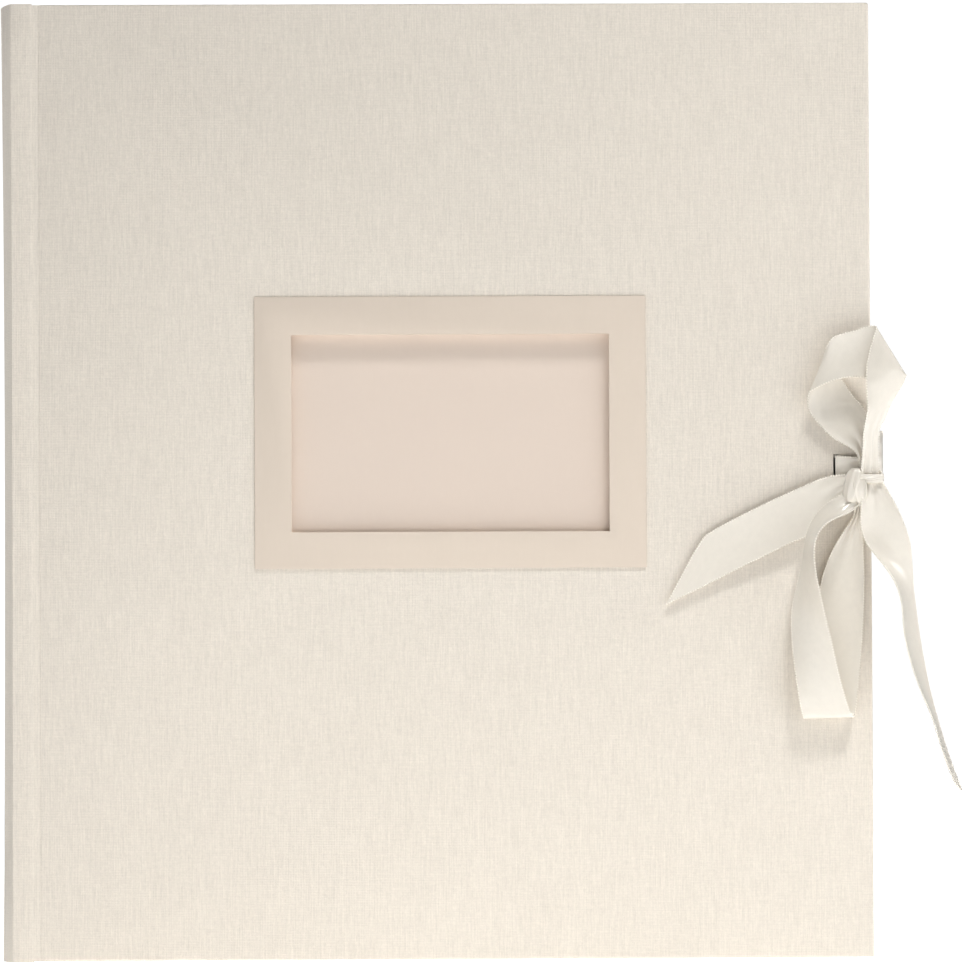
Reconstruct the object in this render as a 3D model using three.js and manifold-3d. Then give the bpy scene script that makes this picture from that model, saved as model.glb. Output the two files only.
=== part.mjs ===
// Book-bound photo album with a linen case, a passepartout window in the front cover and a
// satin ribbon tied in a bow at the fore-edge. Millimetres, +Z up: the album stands on its
// foot, the spine at low X, the fore-edge at high X, the front cover facing -Y.
// x, y and z in this file are counted from the crown of the spine, the middle of the
// thickness and the foot; ORIGIN_X then moves the origin into the spine's foot.
import * as THREE from "three";
import { mergeVertices } from "three/addons/utils/BufferGeometryUtils.js";
import Module from "manifold-3d";

const wasm = await Module();
wasm.setup();

// ---- driving dimensions ----
const ORIGIN_X = 1.6; // from the spine's crown to the middle of its foot
const COVER_WIDTH = 290; // crown of the spine to the fore-edge of the covers
const COVER_HEIGHT = 320;
const SPINE_EXTRA = 0.3; // the spine stands this much proud of the covers at head and foot
const CLOTH = 0.4;
const BOARD = 2.5;
const GAP = 0.2; // running gap that stands for a glue line
const PASTEDOWN = 0.25;
const FACE = 18.4; // half the closed thickness, to the cloth's outer face
const TURN_IN = 15; // width of the cloth folded round the boards' edges
const JOINT_X = 9.4; // where the spine piece ends and the joint begins
const BOARD_X = 11.8; // spine-side edge of the cover boards
const HINGE_X = 9.9;
const HINGE_Y = FACE + 0.3;

const LEAVES = 30;
const LEAF_PITCH = 0.9;
const LEAF = 0.4;
const FLYLEAF = 0.25;
const SQUARE = 4.2; // the covers stand this far past the leaves at head, tail and fore-edge
const CREASE_X = 24; // gutter crease of every leaf
const LEAF_EDGE_X = COVER_WIDTH - 4.5;
const BLOCK_Y = 13.95; // half the thickness of the block of leaves

const WINDOW = { x: 149, z: 176.2, w: 106.4, h: 66.1 };
const FRAME = { w: 131, h: 91, border: 0.4 };
const BACKING = { w: 150, h: 110 };
const SLOT = { x: 278.1, z: 160, w: 1.6, h: 17 };

const RIBBON_W = 15;
const RIBBON = 0.35;
const KNOT = { x: 285.6, y: -25.6, z: 157.5, rx: 5, ry: 4, rz: 7.5 };

// ---- materials ----
const mat = (color, roughness) => new THREE.MeshStandardMaterial({ color, roughness });
const linen = mat(0xe3dbcf, 0.95);
const greyboard = mat(0xa8a299, 0.95);
const card = mat(0xe0d6c8, 0.8);
const backingCard = mat(0xe2d2c4, 0.85);
const endpaper = mat(0xf3efe6, 0.85);
const leafPaper = mat(0xf4f0e6, 0.85);
const guardPaper = mat(0xe9e3d6, 0.9);
const gauze = mat(0xd8d0c0, 0.95);
const lining = mat(0xb9a88c, 0.9);
const band = mat(0xefe8da, 0.7);
const satin = mat(0xe8e2d5, 0.45);

const group = new THREE.Group();
group.name = "scrapbook_album";

// ---- helpers ----
/** Adds one closed body to the album, moved into the album's own frame. */
function add(name, geometry, material) {
  geometry.translate(-ORIGIN_X, 0, 0);
  const mesh = new THREE.Mesh(geometry, material);
  mesh.name = name;
  group.add(mesh);
  return mesh;
}

/** A box between two corners. */
function box(x0, x1, y0, y1, z0, z1) {
  const g = new THREE.BoxGeometry(x1 - x0, Math.abs(y1 - y0), z1 - z0);
  g.translate((x0 + x1) / 2, (y0 + y1) / 2, (z0 + z1) / 2);
  return g;
}

/** A closed outline in X and Y, drawn up from z0 to z1. */
function prism(points, z0, z1) {
  const shape = new THREE.Shape(points.map(([x, y]) => new THREE.Vector2(x, y)));
  const g = new THREE.ExtrudeGeometry(shape, { depth: z1 - z0, bevelEnabled: false });
  g.translate(0, 0, z0);
  return g;
}

function toSolid(geometry) {
  const g = geometry.clone();
  g.deleteAttribute("normal");
  if (g.getAttribute("uv")) g.deleteAttribute("uv");
  const m = mergeVertices(g, 1e-5);
  return new wasm.Manifold(
    new wasm.Mesh({
      numProp: 3,
      vertProperties: new Float32Array(m.attributes.position.array),
      triVerts: new Uint32Array(m.index.array),
    }),
  );
}

function fromSolid(solid) {
  const mesh = solid.getMesh();
  const g = new THREE.BufferGeometry();
  g.setAttribute("position", new THREE.BufferAttribute(mesh.vertProperties.slice(), 3));
  g.setIndex(new THREE.BufferAttribute(mesh.triVerts.slice(), 1));
  g.computeVertexNormals();
  return g;
}

/** The first geometry with all the others cut out of it. */
function cut(geometry, ...tools) {
  let solid = toSolid(geometry);
  for (const tool of tools) solid = solid.subtract(toSolid(tool));
  return fromSolid(solid);
}

function join(...geometries) {
  let solid = toSolid(geometries[0]);
  for (const g of geometries.slice(1)) solid = solid.add(toSolid(g));
  return fromSolid(solid);
}

/** x of the rounded spine at a distance y from the middle, for a layer that starts at depth. */
const round = (y, depth) => depth + 2.2 * (y / 17.8) ** 2;

/** Outline of one rounded layer of the spine, between two depths, out to +-half. */
function roundLayer(outer, inner, half, steps = 16) {
  const points = [];
  for (let i = 0; i <= steps; i++) {
    const y = -half + (2 * half * i) / steps;
    points.push([round(y, outer), y]);
  }
  for (let i = steps; i >= 0; i--) {
    const y = -half + (2 * half * i) / steps;
    points.push([round(y, inner), y]);
  }
  return points.reverse();
}

/**
 * A strip of ribbon between two edges. Every station gives the two edges as seen from the
 * front, [x, z] each, the depth y of the middle and how the width leans in depth: the edges
 * move apart in y, by lean times what is left of the width.
 */
function ribbon(stations, samples = 8) {
  const a = [];
  const b = [];
  for (const { p, q, y, lean = 0, width = RIBBON_W } of stations) {
    const seen = Math.hypot(p[0] - q[0], p[1] - q[1]);
    const dy = (lean * Math.sqrt(Math.max(0, width ** 2 - seen ** 2))) / 2;
    a.push(new THREE.Vector3(p[0], y + dy, p[1]));
    b.push(new THREE.Vector3(q[0], y - dy, q[1]));
  }
  const ca = new THREE.CatmullRomCurve3(a, false, "catmullrom", 0.5);
  const cb = new THREE.CatmullRomCurve3(b, false, "catmullrom", 0.5);
  const n = (stations.length - 1) * samples;
  const mid = (t) => ca.getPoint(t).add(cb.getPoint(t)).multiplyScalar(0.5);
  const position = [];
  const index = [];
  for (let i = 0; i <= n; i++) {
    const t = i / n;
    const pa = ca.getPoint(t);
    const pb = cb.getPoint(t);
    const run = mid(Math.min(1, t + 1e-3)).sub(mid(Math.max(0, t - 1e-3)));
    const normal = run.cross(pb.clone().sub(pa)).normalize().multiplyScalar(RIBBON / 2);
    for (const [edge, side] of [[pa, 1], [pb, 1], [pb, -1], [pa, -1]]) {
      position.push(...edge.clone().addScaledVector(normal, side).toArray());
    }
  }
  const ring = (i, k) => i * 4 + (k % 4);
  for (let i = 0; i < n; i++) {
    for (let k = 0; k < 4; k++) {
      index.push(ring(i, k), ring(i, k + 1), ring(i + 1, k + 1));
      index.push(ring(i, k), ring(i + 1, k + 1), ring(i + 1, k));
    }
  }
  index.push(0, 2, 1, 0, 3, 2);
  const e = n * 4;
  index.push(e, e + 1, e + 2, e, e + 2, e + 3);
  let volume = 0;
  const v = (i) => new THREE.Vector3().fromArray(position, i * 3);
  for (let i = 0; i < index.length; i += 3) {
    volume += v(index[i]).dot(v(index[i + 1]).cross(v(index[i + 2])));
  }
  if (volume < 0) {
    for (let i = 0; i < index.length; i += 3) {
      [index[i], index[i + 1]] = [index[i + 1], index[i]];
    }
  }
  const g = new THREE.BufferGeometry();
  g.setAttribute("position", new THREE.Float32BufferAttribute(position, 3));
  g.setIndex(index);
  g.computeVertexNormals();
  return g;
}

// ---- the two covers: board, cloth with its turn-ins, pastedown ----
const z0 = SPINE_EXTRA;
const z1 = SPINE_EXTRA + COVER_HEIGHT;

/** A box on one cover, given in distances from the middle of the thickness. */
const onSide = (s, x0, x1, far, near, low, high) =>
  box(x0, x1, Math.min(s * far, s * near), Math.max(s * far, s * near), low, high);

/** A rectangle centred on (x, z), cut or laid through one cover. */
const panel = (s, x, z, w, h, far, near) =>
  onSide(s, x - w / 2, x + w / 2, far, near, z - h / 2, z + h / 2);

const boardOuter = FACE - CLOTH - GAP;
const boardInner = boardOuter - BOARD;
const turnOuter = boardInner - GAP;
const turnInner = turnOuter - CLOTH;
const pasteOuter = turnInner - GAP;
const pasteInner = pasteOuter - PASTEDOWN;

for (const [side, s] of [["front", -1], ["back", 1]]) {
  const isFront = s < 0;
  const slot = (far, near) => panel(s, SLOT.x, SLOT.z, SLOT.w, SLOT.h, far, near);
  const windowCut = (grow, far, near) =>
    panel(s, WINDOW.x, WINDOW.z, WINDOW.w + grow, WINDOW.h + grow, far, near);

  const boardCuts = [slot(FACE, boardInner - 1)];
  const clothCuts = [
    // room for the board, then the middle of the inner side left open between the turn-ins
    onSide(s, BOARD_X - 0.5, COVER_WIDTH - CLOTH, FACE - CLOTH, turnOuter, z0 + CLOTH, z1 - CLOTH),
    onSide(s, BOARD_X - 9, BOARD_X - 0.5, FACE - CLOTH, turnInner - 1, z0 - 1, z1 + 1),
    onSide(s, BOARD_X - 0.6, COVER_WIDTH - TURN_IN, turnOuter + 0.1, turnInner - 1,
      z0 + TURN_IN, z1 - TURN_IN),
    slot(FACE + 1, turnInner - 1),
    // the fore-edge turn-in is notched where the ribbon passes to the inside
    onSide(s, COVER_WIDTH - TURN_IN - 5, SLOT.x + 1, turnOuter + 0.1, turnInner - 1,
      SLOT.z - SLOT.h / 2, SLOT.z + SLOT.h / 2),
  ];
  if (isFront) {
    boardCuts.push(windowCut(1.2, FACE, boardInner - 1));
    clothCuts.push(windowCut(0.6, FACE + 1, boardOuter));
  }
  const board = onSide(s, BOARD_X, COVER_WIDTH - CLOTH - GAP, boardOuter, boardInner,
    z0 + CLOTH + GAP, z1 - CLOTH - GAP);
  add(`${side}_board`, cut(board, ...boardCuts), greyboard);

  const wrap = onSide(s, JOINT_X + 0.3, COVER_WIDTH, FACE, turnInner, z0, z1);
  add(`${side}_cover_cloth`, cut(wrap, ...clothCuts), linen);

  add(`${side}_pastedown`,
    onSide(s, BOARD_X + 1, LEAF_EDGE_X, pasteOuter, pasteInner, SQUARE + z0, z1 - SQUARE),
    endpaper);

  // the ribbon's glued end: down through the slot, then flat on the inside of the board
  const r = RIBBON / 2;
  const leg = onSide(s, SLOT.x - r, SLOT.x + r, FACE - 0.3, turnOuter - RIBBON,
    SLOT.z - RIBBON_W / 2, SLOT.z + RIBBON_W / 2);
  const flat = onSide(s, SLOT.x - 40, SLOT.x + r, turnOuter, turnOuter - RIBBON,
    SLOT.z - RIBBON_W / 2, SLOT.z + RIBBON_W / 2);
  add(`${side}_ribbon_anchor`, join(leg, flat), satin);
}

// window: a card frame on the cloth, and the card that closes the recess from behind
const frameFace = FACE + GAP + FRAME.border;
add("passepartout_frame",
  cut(panel(-1, WINDOW.x, WINDOW.z + 0.3, FRAME.w, FRAME.h, frameFace, FACE + GAP),
    panel(-1, WINDOW.x, WINDOW.z, WINDOW.w, WINDOW.h, frameFace + 1, FACE)),
  card);
add("window_backing_card",
  panel(-1, WINDOW.x, WINDOW.z, BACKING.w, BACKING.h, turnOuter, turnInner), backingCard);

// ---- spine: rounded board, its cloth, and the two narrow strips beside it ----
const spineTop = COVER_HEIGHT + 2 * SPINE_EXTRA;
const outline = [];
const inline = [];
for (let i = 0; i <= 16; i++) {
  const y = -17.8 + (35.6 * i) / 16;
  outline.push([round(y, 0), y]);
}
for (let i = 16; i >= 0; i--) {
  const y = -17.4 + (34.8 * i) / 16;
  inline.push([round(y, CLOTH), y]);
}
const shell = [
  [JOINT_X, -FACE], [JOINT_X, -FACE + CLOTH], [3.3, -FACE + CLOTH],
  ...inline.slice().reverse(),
  [3.3, FACE - CLOTH], [JOINT_X, FACE - CLOTH], [JOINT_X, FACE], [2.8, FACE],
  ...outline.slice().reverse(),
  [2.8, -FACE],
];
const capHalf = 16.6;
const cap = roundLayer(0.2, 4.2, capHalf);
add("spine_cloth",
  join(prism(shell, 0, spineTop), prism(cap, 0, CLOTH),
    prism(cap, spineTop - CLOTH, spineTop)),
  linen);
add("spine_board",
  prism(roundLayer(CLOTH + GAP, CLOTH + GAP + 2, 16.8), CLOTH + GAP, spineTop - CLOTH - GAP),
  greyboard);
for (const [side, s] of [["front", -1], ["back", 1]]) {
  add(`${side}_joint_strip`,
    onSide(s, 5.2, JOINT_X - 0.3, boardOuter, boardInner, CLOTH + GAP, spineTop - CLOTH - GAP),
    greyboard);
}

// ---- block: guards at the spine, mull, lining, head and tail bands ----
const low = z0 + SQUARE;
const high = z1 - SQUARE;
const guard = [[CREASE_X - 0.3, -BLOCK_Y], [CREASE_X - 0.3, BLOCK_Y]];
for (let i = 0; i <= 12; i++) {
  const y = BLOCK_Y - (2 * BLOCK_Y * i) / 12;
  guard.push([round(y, 5.0), y]);
}
add("guard_block", prism(guard, low, high), guardPaper);
add("mull_gauze", prism(roundLayer(4.3, 4.8, BLOCK_Y - 0.4), low + 18, high - 18), gauze);
add("spine_lining", prism(roundLayer(3.5, 4.1, BLOCK_Y - 0.8), low + 2, high - 2), lining);
for (const [name, z] of [["headband", high + 1.3], ["tailband", low - 1.3]]) {
  const roll = new THREE.CylinderGeometry(1, 1, 2 * BLOCK_Y - 1, 20);
  roll.translate(7.2, 0, z);
  add(name, roll, band);
}

// ---- leaves ----
for (const [side, s] of [["front", -1], ["back", 1]]) {
  add(`${side}_flyleaf`,
    onSide(s, CREASE_X, LEAF_EDGE_X, BLOCK_Y, BLOCK_Y - FLYLEAF, low, high), endpaper);
}
for (let i = 0; i < LEAVES; i++) {
  const y = (i - (LEAVES - 1) / 2) * LEAF_PITCH;
  add(`leaf_${String(i + 1).padStart(2, "0")}`,
    box(CREASE_X, LEAF_EDGE_X, y - LEAF / 2, y + LEAF / 2, low, high), leafPaper);
}

// ---- ribbon: two strands, knot, two loops, two tails ----
const knot = new THREE.SphereGeometry(1, 28, 18);
{
  const p = knot.attributes.position;
  for (let i = 0; i < p.count; i++) {
    const [x, y, z] = [p.getX(i), p.getY(i), p.getZ(i)];
    const square = 1 / Math.pow(Math.abs(x) ** 3 + Math.abs(y) ** 3 + Math.abs(z) ** 3, 1 / 3);
    p.setXYZ(i, x * square * KNOT.rx, y * square * KNOT.ry, z * square * KNOT.rz);
  }
}
knot.translate(KNOT.x, KNOT.y, KNOT.z);
knot.deleteAttribute("uv");
knot.deleteAttribute("normal");
const knotSolid = mergeVertices(knot, 1e-4);
knotSolid.computeVertexNormals();
add("bow_knot", knotSolid, satin);

add("front_ribbon_strand", ribbon([
  { p: [278.7, 167.7], q: [278.7, 152.7], y: -18.85 },
  { p: [281.0, 167.7], q: [281.0, 152.7], y: -19.5 },
  { p: [284.5, 167.4], q: [284.5, 153.0], y: -20.1 },
  { p: [288.6, 166.8], q: [288.6, 153.6], y: -20.5 },
]), satin);

// the back strand leaves the slot in the back cover and comes round the fore-edge
add("back_ribbon_strand", ribbon([
  { p: [278.7, 168.5], q: [278.7, 153.5], y: 18.85 },
  { p: [284.0, 168.8], q: [284.0, 153.8], y: 19.4 },
  { p: [290.6, 169.3], q: [290.6, 154.3], y: 18.6 },
  { p: [293.4, 170.5], q: [293.4, 155.5], y: 13.5 },
  { p: [294.4, 172.5], q: [294.4, 157.5], y: 0 },
  { p: [294.2, 175.0], q: [294.2, 160.0], y: -12 },
  { p: [293.2, 176.4], q: [293.2, 161.4], y: -19.5 },
  { p: [291.9, 175.0], q: [291.9, 162.0], y: -23.2 },
]), satin);

add("bow_upper_loop", ribbon([
  { p: [287.4, 168.0], q: [292.0, 168.0], y: -27.0, lean: 0.6, width: 10 },
  { p: [287.6, 176.9], q: [293.0, 176.9], y: -29.0, lean: 0.8, width: 13 },
  { p: [287.6, 188.5], q: [297.7, 187.8], y: -31.0, lean: 1 },
  { p: [286.3, 192.9], q: [300.7, 194.9], y: -31.0 },
  { p: [284.8, 194.2], q: [295.5, 204.6], y: -29.8 },
  { p: [280.3, 194.2], q: [284.0, 208.9], y: -28.2 },
  { p: [275.4, 192.9], q: [277.6, 207.6], y: -27.2 },
  { p: [270.6, 189.9], q: [274.0, 204.2], y: -25.8 },
  { p: [268.4, 186.5], q: [272.7, 200.6], y: -23.8 },
  { p: [269.8, 182.9], q: [275.6, 196.4], y: -21.8 },
  { p: [273.6, 178.6], q: [281.2, 191.2], y: -20.6 },
  { p: [278.6, 174.0], q: [286.4, 184.2], y: -20.4 },
  { p: [283.0, 170.4], q: [288.4, 177.0], y: -21.2 },
  { p: [285.4, 167.6], q: [288.6, 171.0], y: -23.0 },
]), satin);

add("bow_lower_loop", ribbon([
  { p: [279.6, 150.4], q: [283.6, 147.0], y: -25.5, lean: -0.5, width: 9 },
  { p: [273.0, 147.8], q: [276.5, 141.5], y: -28.0, lean: -0.6, width: 12 },
  { p: [268.0, 141.6], q: [271.0, 136.0], y: -29.6, lean: -0.7 },
  { p: [264.6, 126.0], q: [269.6, 126.4], y: -29.8, lean: -0.75 },
  { p: [262.6, 114.8], q: [272.4, 115.4], y: -29.6, lean: -0.8 },
  { p: [263.3, 98.4], q: [277.0, 100.0], y: -29.0, lean: -1 },
  { p: [265.2, 85.2], q: [281.0, 85.2], y: -27.0 },
  { p: [266.8, 80.6], q: [283.4, 80.2], y: -24.4 },
  { p: [267.4, 84.6], q: [283.6, 83.4], y: -21.8 },
  { p: [268.6, 98.0], q: [285.2, 96.8], y: -20.6 },
  { p: [271.0, 116.0], q: [286.2, 113.8], y: -20.4 },
  { p: [274.3, 129.8], q: [286.3, 129.0], y: -20.8 },
  { p: [277.8, 139.0], q: [286.4, 138.0], y: -21.6, width: 12 },
  { p: [283.0, 148.0], q: [287.0, 145.6], y: -23.6, width: 8 },
]), satin);

add("bow_left_tail", ribbon([
  { p: [279.6, 161.6], q: [279.8, 154.0], y: -23.4 },
  { p: [271.5, 159.9], q: [275.4, 150.6], y: -23.2 },
  { p: [263.3, 155.8], q: [268.8, 144.2], y: -22.6 },
  { p: [246.3, 147.6], q: [252.8, 134.1], y: -21.4 },
  { p: [236.5, 142.8], q: [238.4, 127.0], y: -20.8 },
  { p: [232.0, 139.2], q: [220.9, 118.6], y: -20.4 },
]), satin);

add("bow_right_tail", ribbon([
  { p: [287.9, 147.0], q: [294.6, 154.8], y: -25.0, lean: 0.5, width: 11 },
  { p: [286.8, 139.4], q: [299.2, 142.6], y: -25.4, lean: 0.8 },
  { p: [290.8, 133.2], q: [302.2, 132.2], y: -25.6, lean: 0.9 },
  { p: [296.7, 123.6], q: [303.2, 123.0], y: -26.0, lean: 1 },
  { p: [298.8, 110.0], q: [304.3, 110.0], y: -26.2, lean: 1 },
  { p: [301.3, 98.4], q: [306.6, 96.9], y: -26.2, lean: 1 },
  { p: [305.0, 87.6], q: [309.0, 84.4], y: -26.2, lean: 1 },
  { p: [309.7, 76.2], q: [311.8, 74.0], y: -26.0, lean: 1, width: 12 },
  { p: [314.6, 62.0], q: [315.8, 62.4], y: -25.6, lean: 1, width: 6 },
  { p: [318.2, 55.4], q: [318.6, 55.4], y: -25.4, lean: 1, width: 1 },
]), satin);

export default group;
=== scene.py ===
"""Looks of a linen scrapbook album with a picture window and a satin ribbon tied in a bow.

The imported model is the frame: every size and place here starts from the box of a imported
piece. Lengths written as numbers are in millimetres and turned into metres by MM.
The album stands on its foot, +Z up, the spine at low X, the front cover facing -Y.
"""
from __future__ import annotations

import logging
import math
from dataclasses import dataclass, field
from enum import Enum

import bmesh
import bpy
from mathutils import Euler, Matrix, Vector


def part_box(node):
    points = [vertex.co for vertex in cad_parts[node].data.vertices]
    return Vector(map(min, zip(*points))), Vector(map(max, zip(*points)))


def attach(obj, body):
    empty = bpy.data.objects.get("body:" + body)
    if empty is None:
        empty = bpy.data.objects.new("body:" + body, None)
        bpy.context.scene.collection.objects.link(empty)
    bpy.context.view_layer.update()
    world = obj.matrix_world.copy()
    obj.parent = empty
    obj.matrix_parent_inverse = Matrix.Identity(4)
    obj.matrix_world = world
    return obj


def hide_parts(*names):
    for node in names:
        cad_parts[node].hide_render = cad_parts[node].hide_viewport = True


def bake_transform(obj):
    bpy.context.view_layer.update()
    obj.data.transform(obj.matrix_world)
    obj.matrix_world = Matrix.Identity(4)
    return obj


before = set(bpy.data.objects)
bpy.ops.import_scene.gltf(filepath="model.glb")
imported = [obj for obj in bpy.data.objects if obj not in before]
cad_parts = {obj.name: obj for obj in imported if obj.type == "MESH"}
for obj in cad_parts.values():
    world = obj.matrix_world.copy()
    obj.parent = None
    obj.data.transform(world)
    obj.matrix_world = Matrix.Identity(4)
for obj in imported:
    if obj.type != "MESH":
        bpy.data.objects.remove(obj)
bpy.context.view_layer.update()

MM = 0.001
BLOCK = "book_block"
LEAVES = sum(name.startswith("leaf_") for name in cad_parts)
LOG = logging.getLogger("album")

Colour = tuple[float, float, float, float]
Pair = tuple[float, float]


class Side(Enum):
    """The two covers, with the direction in which each one faces."""

    FRONT = ("front", -1.0)
    BACK = ("back", 1.0)

    @property
    def word(self) -> str:
        """Name of the side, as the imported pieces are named."""
        return self.value[0]

    @property
    def sign(self) -> float:
        """-1 where the cover faces -Y, 1 where it faces +Y."""
        return self.value[1]

    @property
    def body(self) -> str:
        """The moving body of this cover."""
        return f"{self.word}_cover"


# ---------------------------------------------------------------------------
# shader helpers
# ---------------------------------------------------------------------------
class Shader:
    """A material under construction, with short calls for the nodes that the finishes share."""

    def __init__(self, name: str) -> None:
        """Start a material with a Principled shader.

        Args:
            name: name of the material.
        """
        self.material = bpy.data.materials.new(name)
        self.material.use_nodes = True
        self.tree = self.material.node_tree
        self.tree.nodes.clear()
        self.out = self.tree.nodes.new("ShaderNodeOutputMaterial")
        self.skin = self.tree.nodes.new("ShaderNodeBsdfPrincipled")
        self.tree.links.new(self.skin.outputs["BSDF"], self.out.inputs["Surface"])

    def node(self, kind: str, inputs: dict | None = None, **fields) -> bpy.types.Node:
        """Add a node.

        Args:
            kind: the node's type.
            inputs: values or sockets for its inputs, by name or place.
            fields: its own settings.
        Returns:
            The node.
        """
        made = self.tree.nodes.new(kind)
        for key, value in fields.items():
            setattr(made, key, value)
        for key, value in (inputs or {}).items():
            self.feed(made.inputs[key], value)
        return made

    def feed(self, socket: bpy.types.NodeSocket, value) -> None:
        """Link a socket to another one, or set its value."""
        if isinstance(value, bpy.types.NodeSocket):
            self.tree.links.new(value, socket)
        else:
            socket.default_value = value

    def place(self, scale: tuple[float, float, float], uv: str | None = None):
        """Coordinates of the piece, stretched by scale.

        Args:
            scale: stretch along the three axes.
            uv: name of a UV map, or None for the piece's own space.
        Returns:
            The stretched coordinates' socket.
        """
        if uv:
            source = self.node("ShaderNodeUVMap", uv_map=uv).outputs["UV"]
        else:
            source = self.node("ShaderNodeTexCoord").outputs["Object"]
        return self.node("ShaderNodeMapping", {"Vector": source, "Scale": scale}).outputs[0]

    def noise(self, vector, scale: float, detail: float = 4.0, rough: float = 0.6):
        """Grey noise over the given coordinates."""
        made = self.node(
            "ShaderNodeTexNoise",
            {"Vector": vector, "Scale": scale, "Detail": detail, "Roughness": rough},
        )
        return made.outputs["Fac"]

    def math(self, operation: str, a, b=0.0, clamp: bool = False):
        """One arithmetic step between two values or sockets."""
        made = self.node("ShaderNodeMath", {0: a, 1: b}, operation=operation, use_clamp=clamp)
        return made.outputs[0]

    def ramp(self, value, stops: list[tuple[float, Colour]]):
        """A colour ramp with the given stops."""
        made = self.node("ShaderNodeValToRGB", {"Fac": value})
        ramp = made.color_ramp
        while len(ramp.elements) < len(stops):
            ramp.elements.new(0.5)
        for element, (place, colour) in zip(ramp.elements, stops):
            element.position = place
            element.color = colour
        return made.outputs["Color"]

    def bump(self, height, strength: float, distance: float, under=None) -> bpy.types.NodeSocket:
        """A bump from a height, on top of an earlier one if given."""
        inputs = {"Height": height, "Strength": strength, "Distance": distance}
        if under is not None:
            inputs["Normal"] = under
        return self.node("ShaderNodeBump", inputs).outputs[0]

    def set(self, **values) -> "Shader":
        """Set or link inputs of the Principled shader, words joined by underscores."""
        for key, value in values.items():
            self.feed(self.skin.inputs[key.replace("_", " ")], value)
        return self


def shade(colour: Colour, by: float) -> Colour:
    """The colour made lighter or darker by a factor."""
    return tuple(min(1.0, c * by) for c in colour[:3]) + (1.0,)


# ---------------------------------------------------------------------------
# finishes
# ---------------------------------------------------------------------------
@dataclass(frozen=True)
class LinenFinish:
    """Natural linen book cloth: a plain weave with slubs in both directions."""

    name: str = "linen_cloth"
    colour: Colour = (0.775, 0.714, 0.630, 1.0)
    thread: float = 0.55 * MM
    slub: float = 0.10
    roughness: float = 0.92

    def build(self) -> bpy.types.Material:
        """Make the material.

        Returns:
            The linen material.
        """
        s = Shader(self.name)
        wander = s.noise(s.place((1, 1, 1)), 700.0, 2.0)
        heights = []
        for axis in range(3):
            at = s.node("ShaderNodeSeparateXYZ", {0: s.place((1, 1, 1))}).outputs[axis]
            turned = s.math("MULTIPLY", at, 2 * math.pi / self.thread)
            bent = s.math("ADD", turned, s.math("MULTIPLY", wander, 5.0))
            heights.append(s.math("SINE", bent))
        weave = s.math("ADD", s.math("ADD", heights[0], heights[1]), heights[2])
        upright = s.noise(s.place((2000, 2000, 110)), 1.0, 3.0, 0.75)
        level = s.noise(s.place((110, 110, 2000)), 1.0, 3.0, 0.75)
        speck = s.noise(s.place((1, 1, 1)), 1500.0, 2.0, 0.8)
        cloud = s.noise(s.place((1, 1, 1)), 11.0, 3.0)
        slubs = s.math("ADD", s.math("MULTIPLY", upright, 0.45), s.math("MULTIPLY", level, 0.25))
        grain = s.math("ADD", slubs, s.math("MULTIPLY", speck, 0.3))
        threads = s.math("ADD", grain, s.math("MULTIPLY", weave, 0.022))
        tone = s.math("ADD", threads, s.math("MULTIPLY", s.math("SUBTRACT", cloud, 0.5), 0.06))
        dark, light = 1.0 - self.slub, 1.0 + self.slub
        colour = s.ramp(
            tone,
            [(0.36, shade(self.colour, dark)), (0.5, self.colour), (0.64, shade(self.colour, light))],
        )
        lumps = s.bump(grain, 0.5, 0.35 * MM)
        woven = s.bump(weave, 0.22, 0.1 * MM, lumps)
        s.set(Base_Color=colour, Roughness=self.roughness, Normal=woven)
        s.set(Sheen_Weight=0.12, Sheen_Roughness=0.5, Specular_IOR_Level=0.25)
        return s.material


@dataclass(frozen=True)
class PaperFinish:
    """Card or paper with a faint cloud of fibres."""

    name: str
    colour: Colour
    fibre: float = 0.015
    scale: float = 260.0
    roughness: float = 0.8
    relief: float = 0.08

    def build(self) -> bpy.types.Material:
        """Make the material.

        Returns:
            The paper material.
        """
        s = Shader(self.name)
        fine = s.noise(s.place((1, 1, 1)), self.scale, 5.0, 0.7)
        long_fibre = s.noise(s.place((1400, 1400, 160)), 1.0, 2.0)
        cloud = s.noise(s.place((1, 1, 1)), 14.0, 2.0)
        tone = s.math("MULTIPLY", s.math("ADD", s.math("ADD", fine, long_fibre), cloud), 1 / 3)
        colour = s.ramp(
            tone,
            [(0.38, shade(self.colour, 1 - self.fibre)), (0.62, shade(self.colour, 1 + self.fibre))],
        )
        s.set(Base_Color=colour, Roughness=self.roughness, Specular_IOR_Level=0.3)
        s.set(Normal=s.bump(s.math("ADD", fine, long_fibre), self.relief, 0.1 * MM))
        return s.material


@dataclass(frozen=True)
class BoardFinish:
    """Greyboard: pressed waste paper with darker and lighter specks."""

    name: str = "greyboard"
    colour: Colour = (0.36, 0.335, 0.295, 1.0)

    def build(self) -> bpy.types.Material:
        """Make the material.

        Returns:
            The greyboard material.
        """
        s = Shader(self.name)
        specks = s.noise(s.place((1, 1, 1)), 1500.0, 2.0, 0.8)
        layers = s.noise(s.place((60, 2600, 60)), 1.0, 2.0)
        tone = s.math("MULTIPLY", s.math("ADD", specks, layers), 0.5)
        colour = s.ramp(tone, [(0.35, shade(self.colour, 0.7)), (0.65, shade(self.colour, 1.3))])
        s.set(Base_Color=colour, Roughness=0.95)
        s.set(Normal=s.bump(specks, 0.3, 0.15 * MM))
        return s.material


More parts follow.
